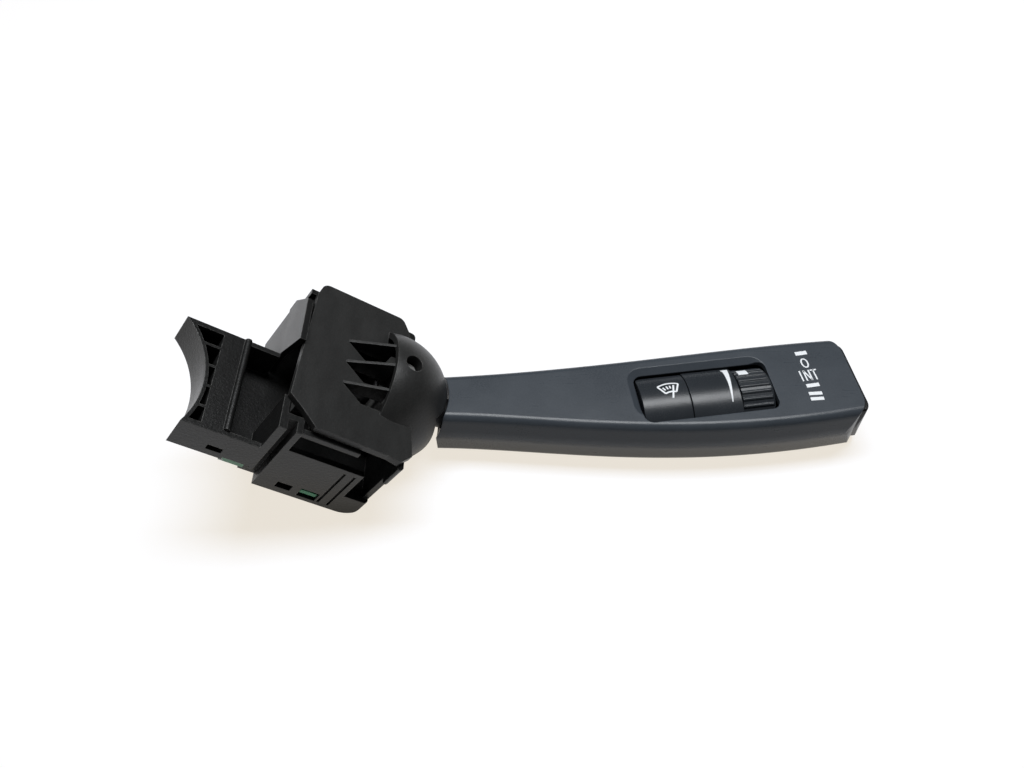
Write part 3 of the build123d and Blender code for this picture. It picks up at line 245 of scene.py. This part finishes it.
class Finish:
    """A material under construction, with one method for any node."""

    def __init__(self, name):
        self.material = bpy.data.materials.new(name)
        self.material.use_nodes = True
        self.tree = self.material.node_tree
        self.tree.nodes.clear()
        self.place = self.node("ShaderNodeTexCoord", out="Object")

    def node(self, kind, settings=None, out=0, **inputs):
        """One output of a new node; an input is named with _ for a space, or by number as i0, i1."""
        node = self.tree.nodes.new(kind)
        for key, setting in (settings or {}).items():
            setattr(node, key, setting)
        for key, item in inputs.items():
            numbered = key[0] == "i" and key[1:].isdigit()
            feed(self.tree, node.inputs[int(key[1:]) if numbered else key.replace("_", " ")], item)
        return Value(self.tree, node.outputs[out])

    def noise(self, pitch, detail=2.0, roughness=0.5, place=None):
        """Noise with features of this pitch in metres, 0 to 1 about 0.5."""
        return self.node("ShaderNodeTexNoise", Vector=place or self.place, Scale=1.0 / pitch, Detail=detail,
                         Roughness=roughness)

    def cells(self, pitch):
        return self.node("ShaderNodeTexVoronoi", Vector=self.place, Scale=1.0 / pitch)

    def stretched(self, x, y, z):
        """The object's place, squeezed along some axes, so that a noise runs into streaks."""
        return self.node("ShaderNodeMapping", Vector=self.place, Scale=(x, y, z))

    def mix(self, factor, low, high):
        """Colour mix."""
        node = self.tree.nodes.new("ShaderNodeMix")
        node.data_type = "RGBA"
        for socket, item in ((node.inputs[0], factor), (node.inputs[6], low), (node.inputs[7], high)):
            feed(self.tree, socket, item)
        return Value(self.tree, node.outputs[2])

    def rounded(self, radius):
        """Normal that rounds every moulded edge by this radius."""
        return self.node("ShaderNodeBevel", {"samples": NORMAL_SAMPLES}, Radius=radius)

    def edges(self, radius, sharp):
        """1 on the crest of a hard edge and 0 on a flat, from how far the rounded normal leans away."""
        soft = self.rounded(radius)
        flat = self.node("ShaderNodeNewGeometry", out="Normal")
        along = self.node("ShaderNodeVectorMath", {"operation": "DOT_PRODUCT"}, out="Value", i0=soft, i1=flat)
        return (1.0 - along).above(0.02, sharp)

    def bump(self, height, distance, strength=1.0, normal=None):
        inputs = {"Height": height, "Distance": distance, "Strength": strength}
        if normal is not None:
            inputs["Normal"] = normal
        return self.node("ShaderNodeBump", **inputs)

    def surface(self, colour, roughness, normal=None, metallic=0.0, coat=0.0, specular=0.5):
        shader = self.tree.nodes.new("ShaderNodeBsdfPrincipled")
        output = self.tree.nodes.new("ShaderNodeOutputMaterial")
        sockets = {"Base Color": colour, "Roughness": roughness, "Normal": normal, "Metallic": metallic,
                   "Coat Weight": coat, "Specular IOR Level": specular}
        for key, item in sockets.items():
            if item is not None:
                feed(self.tree, shader.inputs[key], item)
        self.tree.links.new(shader.outputs[0], output.inputs[0])
        return self.material


def shade(colour, factor):
    return tuple(min(1.0, channel * factor) for channel in colour)


def dress(material, *nodes):
    """Gives these CAD nodes one material."""
    for name in nodes:
        data = frame["nodes"][name].data
        data.materials.clear()
        data.materials.append(material)


# ---------------------------------------------------------------- finishes
def grained_plastic(name, colour, grain, wear, roughness=0.34, sheen=0.3):
    """Eroded mould texture, faint flow streaks, pale specks, painted shade in the hollows and pale rubbed
    edges.
    """
    finish = Finish(name)
    grit = finish.noise(grain, 3.0, 0.65)
    cells = finish.cells(grain * 2.2)
    flow = finish.noise(0.006, 4.0, 0.6, finish.stretched(1.0, 0.35, 1.0))
    edge = finish.edges(0.0004, 0.22) * finish.noise(0.0016, 4.0, 0.7).above(0.35, 0.65)
    base = finish.mix(flow.above(0.3, 0.7), shade(colour, 0.82), shade(colour, 1.2))
    speckle = finish.mix(grit.above(0.56, 0.74) * 0.5, base, shade(colour, 2.4))
    # painted shade: an occlusion mask blends the colour towards near black in hollows and creases
    clear_of_painted_shade = finish.node("ShaderNodeAmbientOcclusion", {"samples": NORMAL_SAMPLES}, out="AO",
                           Distance=PAINTED_SHADE_REACH).above(0.3, 0.75)
    # pale rubbed edges laid over the colour that already carries the painted shade of the hollows
    surface_colour = finish.mix(edge * wear, finish.mix(clear_of_painted_shade, PAINTED_CAVITY_SHADE, speckle), RUBBED_EDGE)
    rough = (flow - 0.5) * 0.16 + (grit - 0.5) * 0.2 + roughness - edge * 0.1 + (1.0 - clear_of_painted_shade) * 0.4
    height = grit * 0.6 + cells * 0.4
    normal = finish.bump(height, grain * 0.35, 0.55, finish.rounded(0.00025))
    return finish.surface(surface_colour, rough.clamped(), normal, specular=sheen)


def satin_plastic(name, colour, grain, roughness):
    """Fine satin grain, with slow changes of sheen from handling and faint fine scratches."""
    finish = Finish(name)
    grit = finish.noise(grain, 2.0, 0.55)
    hands = finish.noise(0.018, 3.0, 0.55)
    streak = finish.noise(0.0006, 2.0, 0.5, finish.stretched(0.05, 1.0, 1.0)).above(0.66, 0.76)
    edge = finish.edges(0.0003, 0.25)
    base = finish.mix(hands.above(0.35, 0.7), shade(colour, 0.93), shade(colour, 1.08))
    fine = finish.mix(grit.above(0.45, 0.75) * 0.35, base, shade(colour, 1.6))
    surface_colour = finish.mix((edge * 0.35 + streak * 0.06).clamped(), fine, shade(colour, 2.6))
    rough = (hands - 0.5) * 0.14 + (grit - 0.5) * 0.1 + roughness - streak * 0.05
    normal = finish.bump(grit, grain * 0.22, 0.4, finish.rounded(0.0003))
    return finish.surface(surface_colour, rough.clamped(), normal, specular=0.3)


def smooth_plastic(name, colour, roughness):
    """Unpainted slide plastic with weak mould flow."""
    finish = Finish(name)
    flow = finish.noise(0.004, 3.0, 0.5)
    grit = finish.noise(0.0003, 2.0, 0.5)
    base = finish.mix(flow.above(0.35, 0.65), shade(colour, 0.92), shade(colour, 1.06))
    normal = finish.bump(grit, 0.00004, 0.25, finish.rounded(0.0002))
    return finish.surface(base, (flow * 0.12 + roughness).clamped(), normal)


def plated_metal(name, colour, roughness):
    """Plated metal with drawn marks along X and duller patches."""
    finish = Finish(name)
    drawn = finish.noise(0.0003, 3.0, 0.6, finish.stretched(0.1, 1.0, 1.0))
    patch = finish.noise(0.002, 3.0, 0.6)
    base = finish.mix(patch.above(0.4, 0.7), colour, shade(colour, 0.72))
    normal = finish.bump(drawn, 0.00002, 0.3, finish.rounded(0.00015))
    return finish.surface(base, (drawn * 0.15 + patch * 0.15 + roughness).clamped(), normal, metallic=1.0)


def board_laminate(name, mask_colour, trace_colour):
    """Green solder mask over copper lanes, with bare tinned pads."""
    finish = Finish(name)
    lanes = finish.node("ShaderNodeTexBrick", {"offset": 0.5}, out="Fac", Vector=finish.place, Scale=260.0,
                        Mortar_Size=0.09, Brick_Width=0.9, Row_Height=0.35)
    weave = finish.noise(0.0005, 2.0, 0.5)
    pads = finish.cells(0.0042).math("LESS_THAN", 0.16)
    base = finish.mix(lanes, mask_colour, trace_colour)
    lively = finish.mix(weave.above(0.4, 0.7) * 0.4, base, shade(mask_colour, 1.8))
    tinned = finish.mix(pads, lively, TINNED_PAD)
    normal = finish.bump(lanes + pads, 0.00004, 0.6)
    return finish.surface(tinned, (weave * 0.2 + 0.22).clamped(), normal, coat=0.3)


def printed_ink(name, colour):
    """Pad-printed ink, a little thin and speckled at its edges."""
    finish = Finish(name)
    thin = finish.noise(0.0005, 3.0, 0.6)
    grit = finish.noise(0.00015, 2.0, 0.5)
    base = finish.mix(thin.above(0.3, 0.7), shade(colour, 0.86), colour)
    return finish.surface(base, (grit * 0.2 + 0.42).clamped(), finish.bump(grit, 0.00002, 0.3))


# ---------------------------------------------------------------- markings
def lever_point(x, y, z):
    """Scene positions, in metres, of points given in millimetres in the lever's frame."""
    return np.stack([np.asarray(x) * MM + pivot.x, np.asarray(y) * MM + pivot.y,
                     np.asarray(z) * MM + pivot.z], axis=-1)


def on_lid(u, v):
    """The lever's flat top face."""
    return lever_point(u, v, np.full_like(u, LEVER_TOP))


def barrel_point(along, side, high):
    """Along, across and above the control barrel, to the lever's frame."""
    c, s = cos(BARREL_HEADING), sin(BARREL_HEADING)
    return lever_point(BARREL_START + along * c - side * s, BARREL_SIDE + along * s + side * c,
                       BARREL_HIGH + high)


def on_crown(u, v, radius):
    """A crowned control: a circle of this radius whose top is PAD_TOP high."""
    return barrel_point(u, v, PAD_TOP - radius + np.sqrt(radius ** 2 - v ** 2))


def on_button(u, v):
    return on_crown(u, v, BUTTON_CROWN_R)


def on_bridge(u, v):
    return on_crown(u, v, BRIDGE_CROWN_R)


def on_wheel(u, v):
    """The wheel's rim: v is an arc length round it, positive towards the back."""
    return barrel_point(u, WHEEL_R * np.sin(v / WHEEL_R), WHEEL_R * np.cos(v / WHEEL_R))


def ribbon(points, widths, surface, rise, steps=5):
    """A printed stroke, as two grids of points: its top and a copy sunk below the skin.

    The path is resampled every STROKE_STEP, and each of its points gets a row of points at right angles
    to the path, spread evenly over the stroke's width.  The rows are laid on the surface and lifted by
    rise.
    """
    path = np.asarray(points, float)
    widths = np.broadcast_to(np.asarray(widths, float), (len(path),))
    legs = np.linalg.norm(np.diff(path, axis=0), axis=1)
    reach = np.concatenate([[0.0], np.cumsum(legs)])
    count = max(int(reach[-1] / STROKE_STEP) + 1, 2)
    at = np.linspace(0.0, reach[-1], count)
    line = np.stack([np.interp(at, reach, path[:, 0]), np.interp(at, reach, path[:, 1])], axis=1)
    wide = np.interp(at, reach, widths)
    heading = np.gradient(line, axis=0)
    heading /= np.linalg.norm(heading, axis=1, keepdims=True)
    across = np.stack([-heading[:, 1], heading[:, 0]], axis=1)
    spread = np.linspace(-0.5, 0.5, steps)
    grid = line[:, None, :] + across[:, None, :] * (wide[:, None] * spread)[:, :, None]
    top = surface(grid[..., 0], grid[..., 1])
    top[..., 2] += rise
    low = top.copy()
    low[..., 2] -= rise * INK_DEPTH
    return top, low


def grid_faces(index):
    """Quads between the rows and columns of a grid of vertex numbers."""
    return np.stack([index[:-1, :-1], index[1:, :-1], index[1:, 1:], index[:-1, 1:]], -1).reshape(-1, 4)


def ribbon_mesh(name, ribbons):
    """One closed mesh of many ribbons: a top sheet, a sunk copy of it and a wall round the rim."""
    vertices, faces, base = [], [], 0
    for top, low in ribbons:
        rows, cols = top.shape[:2]
        index = np.arange(rows * cols).reshape(rows, cols) + base
        under = index + rows * cols
        quads = grid_faces(index)
        lower = grid_faces(under)[:, [0, 3, 2, 1]]      # wound to face down
        rim = np.concatenate([index[0, :], index[1:, -1], index[-1, -2::-1], index[-2:0:-1, 0]])
        after = np.roll(rim, -1)
        wall = np.stack([rim, after, after + rows * cols, rim + rows * cols], -1)
        vertices += [top.reshape(-1, 3), low.reshape(-1, 3)]
        faces += [quads, lower, wall]
        base += 2 * rows * cols
    points = np.concatenate(vertices)
    loops = np.concatenate(faces)
    mesh = bpy.data.meshes.new(name)
    mesh.from_pydata(points.tolist(), [], loops.tolist())
    mesh.update()
    piece = bpy.data.objects.new(name, mesh)
    bpy.context.scene.collection.objects.link(piece)
    return piece


def print_on(name, strokes, surface, body, rise, material):
    """Prints strokes, each (path, width), on a surface, as one piece that rides on a body."""
    piece = ribbon_mesh(name, [ribbon(path, width, surface, rise) for path, width in strokes])
    piece.data.materials.append(material)
    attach(piece, body)


def turned(strokes, origin, heading, size):
    """Strokes drawn on a unit grid, scaled to size, turned by heading and moved to origin."""
    c, s = cos(heading) * size, sin(heading) * size
    return [([(origin[0] + x * c - y * s, origin[1] + x * s + y * c) for x, y in path],
             np.asarray(width) * size)
            for path, width in strokes]


def arc(cx, cy, rx, ry, angles):
    """Points of an ellipse at these angles."""
    return list(zip(cx + rx * np.cos(angles), cy + ry * np.sin(angles)))


# glyphs as (path, width) strokes, on a unit grid
LETTER_I = [([(0.0, 0.0), (0.0, 1.0)], STROKE)]
LETTER_N = [([(0.0, 0.0), (0.0, 1.0)], STROKE), ([(0.02, 0.97), (0.38, 0.03)], STROKE),
            ([(0.4, 0.0), (0.4, 1.0)], STROKE)]
LETTER_T = [([(0.25, 0.0), (0.25, 0.97)], STROKE), ([(0.0, 0.94), (0.5, 0.94)], STROKE)]
FIGURE_0 = [(arc(0.0, 0.5, 0.24, 0.42, np.linspace(0.0, 2.0 * np.pi, 25)), STROKE)]
BACK_DASH = [([(-0.46, 0.0), (0.46, 0.0)], 0.36)]
DASH = [([(-0.5, 0.0), (0.5, 0.0)], 0.33)]
DOUBLE_DASH = [([(-0.5, -0.25), (0.5, -0.25)], 0.3), ([(-0.5, 0.25), (0.5, 0.25)], 0.3)]
LEGENDS = [              # glyph, place on the lid in millimetres, turn from the heading in radians
    (BACK_DASH, (119.5, 16.0), 0.0),
    (FIGURE_0, (120.15, 10.45), 0.0),
    (LETTER_I, (118.25, 5.6), 0.0),
    (LETTER_N, (119.4, 5.8), 0.0),
    (LETTER_T, (121.3, 6.13), 0.0),
    (DASH, (120.5, 4.2), 0.0),
    (DOUBLE_DASH, (120.7, 0.35), -0.1),
]
WIPER = [(0.5, -0.38), (0.78, 0.4)]
DROPS = [[(0.2, 0.34), (0.28, 0.14)], [(0.4, 0.4), (0.43, 0.18)], [(0.58, 0.4), (0.56, 0.2)]]


# ---------------------------------------------------------------- operators
class STALK_OT_stage(bpy.types.Operator):
    """Floor, soft light and camera"""
    bl_idname = "stalk.stage"
    bl_label = "Stage"

    def execute(self, context):
        settings = context.scene.stalk_stage
        self.floor(context, settings)
        self.world(context, settings)
        self.lamp(context, "soft_box", KEY_PLACE, KEY_TARGET, KEY_SIZE, settings.key_power)
        self.lamp(context, "front_fill", FILL_PLACE, FILL_TARGET, FILL_SIZE, settings.fill_power)
        self.camera(context, settings)
        context.scene.view_settings.view_transform = "Standard"
        return {"FINISHED"}

    def floor(self, context, settings):
        """A wide floor that glows for the camera, so that it shows white with a soft shadow."""
        side = np.linspace(-FLOOR_REACH, FLOOR_REACH, FLOOR_POINTS)
        x, y = np.meshgrid(side, side, indexing="ij")
        points = np.stack([x, y, np.full_like(x, -FLOOR_DROP)], -1).reshape(-1, 3)
        index = np.arange(FLOOR_POINTS ** 2).reshape(FLOOR_POINTS, FLOOR_POINTS)
        mesh = bpy.data.meshes.new("floor")
        mesh.from_pydata(points.tolist(), [], grid_faces(index).tolist())
        floor = bpy.data.objects.new("floor", mesh)
        context.scene.collection.objects.link(floor)
        finish = Finish("floor_card")
        tree = finish.tree
        diffuse = shader_node(tree, "ShaderNodeBsdfDiffuse", settings.floor_colour)
        plain = shader_node(tree, "ShaderNodeBsdfDiffuse", FLOOR_SCATTER)
        glow = shader_node(tree, "ShaderNodeEmission", settings.floor_glow)
        both = tree.nodes.new("ShaderNodeAddShader")
        tree.links.new(diffuse.outputs[0], both.inputs[0])
        tree.links.new(glow.outputs[0], both.inputs[1])
        choice = shader_mix(tree, self.direct_rays(finish), plain, both)
        output = tree.nodes.new("ShaderNodeOutputMaterial")
        tree.links.new(choice.outputs[0], output.inputs[0])
        mesh.materials.append(finish.material)

    @staticmethod
    def direct_rays(finish):
        """1 for camera, glossy and transmission rays."""
        path = finish.tree.nodes.new("ShaderNodeLightPath")
        rays = [Value(finish.tree, path.outputs[key])
                for key in ("Is Camera Ray", "Is Glossy Ray", "Is Transmission Ray")]
        return (rays[0] + rays[1] + rays[2]).clamped()

    @staticmethod
    def world(context, settings):
        """White behind the part for the camera, and an even dome of light for everything else."""
        world = bpy.data.worlds.new("studio")
        world.use_nodes = True
        tree = world.node_tree
        tree.nodes.clear()
        path = tree.nodes.new("ShaderNodeLightPath")
        seen = Value(tree, path.outputs["Is Camera Ray"])
        white = shader_node(tree, "ShaderNodeBackground", WHITE)
        dome = shader_node(tree, "ShaderNodeBackground", DOME_TINT)
        dome.inputs["Strength"].default_value = settings.dome_strength
        choice = shader_mix(tree, seen, dome, white)
        output = tree.nodes.new("ShaderNodeOutputWorld")
        tree.links.new(choice.outputs[0], output.inputs[0])
        context.scene.world = world

    @staticmethod
    def lamp(context, name, place, target, size, power):
        """A rectangular area lamp that faces its target."""
        light = bpy.data.lights.new(name, "AREA")
        light.shape, light.energy, light.color = "RECTANGLE", power, LAMP_TINT
        light.size, light.size_y = size
        holder = bpy.data.objects.new(name, light)
        holder.location = place
        holder.rotation_euler = (Vector(target) - Vector(place)).to_track_quat("-Z", "Y").to_euler()
        context.scene.collection.objects.link(holder)

    @staticmethod
    def camera(context, settings):
        """The photograph's camera, placed from the lever's pivot."""
        camera = bpy.data.cameras.new("camera")
        camera.lens, camera.sensor_width, camera.sensor_fit = settings.focal, SENSOR_WIDTH, "HORIZONTAL"
        camera.clip_start, camera.clip_end = CLIP_START, CLIP_END
        eye = bpy.data.objects.new("camera", camera)
        eye.location = pivot + Vector(EYE_PLACE) * MM
        eye.rotation_euler = (radians(EYE_TILT), 0.0, 0.0)
        context.scene.collection.objects.link(eye)
        context.scene.camera = eye


class STALK_OT_housing_finish(bpy.types.Operator):
    """Grained nylon on the box and bracket, and a finer grain on the two covers"""
    bl_idname = "stalk.housing_finish"
    bl_label = "Housing finish"

    def execute(self, context):
        settings = context.scene.stalk_housing
        nylon = grained_plastic("housing_nylon", settings.plastic, settings.grain, settings.wear)
        dress(nylon, "base_housing")
        cover = grained_plastic("cover_plastic", settings.cover, settings.grain * 0.8,
                                settings.wear * 0.8, 0.4)
        dress(cover, "top_cover", "bottom_cover")
        return {"FINISHED"}


class STALK_OT_mechanism_finish(bpy.types.Operator):
    """Slide plastics, pins, contacts and boards inside"""
    bl_idname = "stalk.mechanism_finish"
    bl_label = "Mechanism finish"

    def execute(self, context):
        dress(smooth_plastic("acetal", ACETAL, 0.4), "gimbal_yoke", "detent_cam", "contact_slider",
              "detent_plunger")
        dress(smooth_plastic("stem_plastic", STEM_BLACK, 0.42), "lever_stem", "ball_collar", "button_switch")
        dress(plated_metal("zinc_steel", ZINC_STEEL, 0.3), "cover_screws", "swivel_pins", "tilt_pin",
              "rocker_pin", "wheel_axle", "detent_spring")
        dress(plated_metal("tinned_brass", TINNED_BRASS, 0.28), "connector_pins", "contact_brushes")
        dress(smooth_plastic("lock_green", LOCK_GREEN, 0.3), "connector_lock")
        dress(board_laminate("board_green", SOLDER_MASK, COPPER_LANE), "circuit_board", "lever_board")
        return {"FINISHED"}


class STALK_OT_lever_finish(bpy.types.Operator):
    """Satin charcoal on the lever's shells and satin black on the rocker"""
    bl_idname = "stalk.lever_finish"
    bl_label = "Lever finish"

    def execute(self, context):
        settings = context.scene.stalk_lever
        satin = satin_plastic("lever_satin", settings.plastic, settings.grain, settings.roughness)
        dress(satin, "lever_upper_shell", "lever_lower_shell")
        black = satin_plastic("rocker_black", ROCKER_BLACK, settings.grain, settings.roughness + 0.02)
        dress(black, "end_rocker")
        return {"FINISHED"}


class STALK_OT_control_finish(bpy.types.Operator):
    """Finer satin on the button, bridge and thumbwheel"""
    bl_idname = "stalk.control_finish"
    bl_label = "Control finish"

    def execute(self, context):
        settings = context.scene.stalk_lever
        satin = satin_plastic("control_satin", settings.control, settings.grain * 0.8,
                              settings.roughness - 0.04)
        dress(satin, "sensor_button", "control_bezel", "thumbwheel")
        return {"FINISHED"}


class STALK_OT_speed_legends(bpy.types.Operator):
    """Speed legends near the lever's tip: a dash, 0, INT, a dash and a double dash"""
    bl_idname = "stalk.speed_legends"
    bl_label = "Speed legends"

    def execute(self, context):
        settings = context.scene.stalk_marks
        size = settings.letter_height / MM
        heading = radians(LEGEND_HEADING)
        ink = printed_ink("legend_ink", settings.ink)
        strokes = []
        for glyph, place, turn in LEGENDS:
            strokes += turned(glyph, place, heading + turn, size)
        print_on("speed_legends", strokes, on_lid, "lever", settings.thickness, ink)
        return {"FINISHED"}


class STALK_OT_button_sign(bpy.types.Operator):
    """Windscreen wiping sign on the button"""
    bl_idname = "stalk.button_sign"
    bl_label = "Button sign"

    def execute(self, context):
        settings = context.scene.stalk_marks
        ink = printed_ink("sign_ink", settings.ink)
        angles = np.linspace(radians(SIGN_ARC_START), radians(SIGN_ARC_END), SIGN_ARC_POINTS)
        upper, lower = (arc(*SIGN_HUB, radius, radius, angles) for radius in (SIGN_TOP_R, SIGN_FOOT_R))
        lines = [upper, lower, [upper[0], lower[0]], [upper[-1], lower[-1]], WIPER]
        sign = [(line, SIGN_STROKE) for line in lines] + [(drop, DROP_STROKE) for drop in DROPS]
        print_on("button_sign", turned(sign, SIGN_PLACE, radians(SIGN_HEADING), SIGN_SIZE), on_button,
                 "button", settings.thickness, ink)
        return {"FINISHED"}


class STALK_OT_delay_marks(bpy.types.Operator):
    """Tapered delay wedge on the bridge and the index bar on the thumbwheel"""
    bl_idname = "stalk.delay_marks"
    bl_label = "Delay marks"

    def execute(self, context):
        settings = context.scene.stalk_marks
        ink = printed_ink("delay_ink", settings.ink)
        print_on("delay_wedge", [(WEDGE_PATH, WEDGE_WIDTHS)], on_bridge, "lever",
                 settings.thickness, ink)
        print_on("wheel_index", [(INDEX_PATH, INDEX_WIDTH)], on_wheel, "wheel",
                 INDEX_RISE * settings.thickness, ink)
        return {"FINISHED"}


class STALK_PT_panel(bpy.types.Panel):
    """The stalk switch's operators and settings"""
    bl_label = "Stalk switch"
    bl_idname = "STALK_PT_panel"
    bl_space_type = "VIEW_3D"
    bl_region_type = "UI"
    bl_category = "Stalk"

    def draw(self, context):
        for operator in OPERATORS:
            self.layout.operator(operator.bl_idname)
        for group in SETTINGS:
            box = self.layout.box()
            for key in SETTINGS[group].__annotations__:
                box.prop(getattr(context.scene, group), key)


OPERATORS = (STALK_OT_stage, STALK_OT_housing_finish, STALK_OT_mechanism_finish, STALK_OT_lever_finish,
             STALK_OT_control_finish, STALK_OT_speed_legends, STALK_OT_button_sign, STALK_OT_delay_marks)
SETTINGS = {"stalk_stage": StageSettings, "stalk_housing": HousingSettings, "stalk_lever": LeverSettings,
            "stalk_marks": MarkingSettings}


def register():
    for group in SETTINGS.values():
        bpy.utils.register_class(group)
    for name, group in SETTINGS.items():
        setattr(bpy.types.Scene, name, PointerProperty(type=group))
    for operator in OPERATORS:
        bpy.utils.register_class(operator)
    bpy.utils.register_class(STALK_PT_panel)


def unregister():
    bpy.utils.unregister_class(STALK_PT_panel)
    for operator in reversed(OPERATORS):
        bpy.utils.unregister_class(operator)
    for name in SETTINGS:
        delattr(bpy.types.Scene, name)
    for group in SETTINGS.values():
        bpy.utils.unregister_class(group)


def main():
    register()
    bpy.ops.stalk.stage()
    bpy.ops.stalk.housing_finish()
    bpy.ops.stalk.mechanism_finish()
    bpy.ops.stalk.lever_finish()
    bpy.ops.stalk.control_finish()
    bpy.ops.stalk.speed_legends()
    bpy.ops.stalk.button_sign()
    bpy.ops.stalk.delay_marks()


if __name__ == "__main__":
    main()
